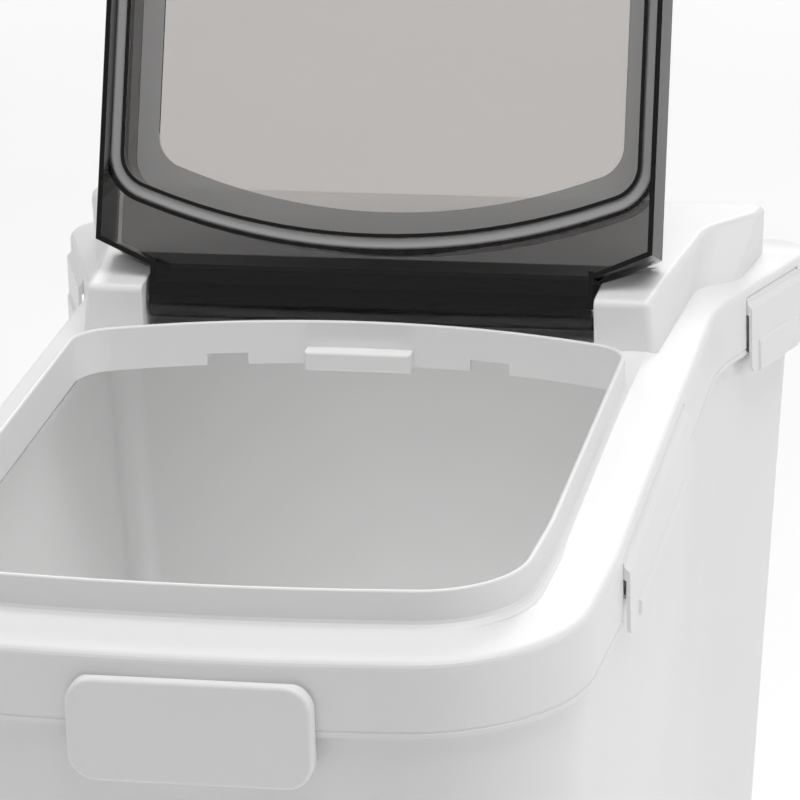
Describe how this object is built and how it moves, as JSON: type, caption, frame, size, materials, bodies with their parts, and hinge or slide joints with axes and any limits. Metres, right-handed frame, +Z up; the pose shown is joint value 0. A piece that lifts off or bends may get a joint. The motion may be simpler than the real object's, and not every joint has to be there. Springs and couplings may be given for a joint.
{
  "type": "wheeled food bin",
  "caption": "Tall tapered storage bin with a clip-on top frame, a smoked hinged lid over a rimmed mouth, hinged clips, and rear wheels for rolling.",
  "frame": {"origin": "on the floor, at the centre of the footprint of the tub and top frame", "axes": "+Z up, +Y from the front of the bin to its hinge side, +X to the right-hand side of a person facing the front's back, so that +X is on the right when the front is viewed from -Y"},
  "size_m": [0.3184, 0.4898, 0.7135],
  "materials": {
    "white_tub": "fine satin moulded polypropylene",
    "white_frame": "fine satin moulded polypropylene",
    "white_clip": "satin moulded polypropylene",
    "white_seal": "smooth silicone",
    "smoked_frame": "smoked glossy transparent plastic with a textured border",
    "smoked_window": "smoked clear polished plastic",
    "dark_seal": "smooth silicone",
    "steel": "drawn rod",
    "grey_rubber": "soft elastomer",
    "grey_hub": "moulded"
  },
  "bodies": {
    "bin": {"bin_body": "white_tub", "top_frame": "white_frame", "frame_seal": "white_seal", "scoop_bracket": "white_frame", "hinge_rod": "steel", "rear_axle": "steel", "foot_pad_left": "grey_rubber", "foot_pad_right": "grey_rubber", "clip_pin_right_front": "steel", "clip_pin_left_front": "steel", "clip_pin_right_rear": "steel", "clip_pin_left_rear": "steel", "clip_pin_front": "steel"},
    "lid": {"lid_frame": "smoked_frame", "lid_window": "smoked_window", "lid_seal": "dark_seal"},
    "clip_right_front": {"clip_right_front": "white_clip"},
    "clip_left_front": {"clip_left_front": "white_clip"},
    "clip_right_rear": {"clip_right_rear": "white_clip"},
    "clip_left_rear": {"clip_left_rear": "white_clip"},
    "clip_front": {"clip_front": "white_clip"},
    "wheel_left": {"wheel_hub_left": "grey_hub", "wheel_tyre_left": "grey_rubber"},
    "wheel_right": {"wheel_hub_right": "grey_hub", "wheel_tyre_right": "grey_rubber"}
  },
  "joints": [
    {"name": "lid_hinge", "type": "hinge", "parent": "bin", "child": "lid", "pos_m": [0, 0.0891, 0.4166], "axis": [1, 0, 0], "range_deg": [0, 112]},
    {"name": "clip_right_front_hinge", "type": "hinge", "parent": "bin", "child": "clip_right_front", "pos_m": [0.1272, -0.043, 0.3946], "axis": [0, -1, 0], "range_deg": [0, 35]},
    {"name": "clip_left_front_hinge", "type": "hinge", "parent": "bin", "child": "clip_left_front", "pos_m": [-0.1272, -0.043, 0.3946], "axis": [0, 1, 0], "range_deg": [0, 35]},
    {"name": "clip_right_rear_hinge", "type": "hinge", "parent": "bin", "child": "clip_right_rear", "pos_m": [0.14431, 0.19492, 0.3946], "axis": [-0.3441, -0.9389, 0], "range_deg": [0, 35]},
    {"name": "clip_left_rear_hinge", "type": "hinge", "parent": "bin", "child": "clip_left_rear", "pos_m": [-0.14431, 0.19492, 0.3946], "axis": [-0.3441, 0.9389, 0], "range_deg": [0, 35]},
    {"name": "clip_front_hinge", "type": "hinge", "parent": "bin", "child": "clip_front", "pos_m": [0, -0.24204, 0.3908], "axis": [-1, 0, 0], "range_deg": [0, 35]},
    {"name": "wheel_left_spin", "type": "hinge", "parent": "bin", "child": "wheel_left", "pos_m": [-0.081, 0.193, 0.021], "axis": [1, 0, 0], "continuous": true},
    {"name": "wheel_right_spin", "type": "hinge", "parent": "bin", "child": "wheel_right", "pos_m": [0.081, 0.193, 0.021], "axis": [1, 0, 0], "continuous": true}
  ]
}
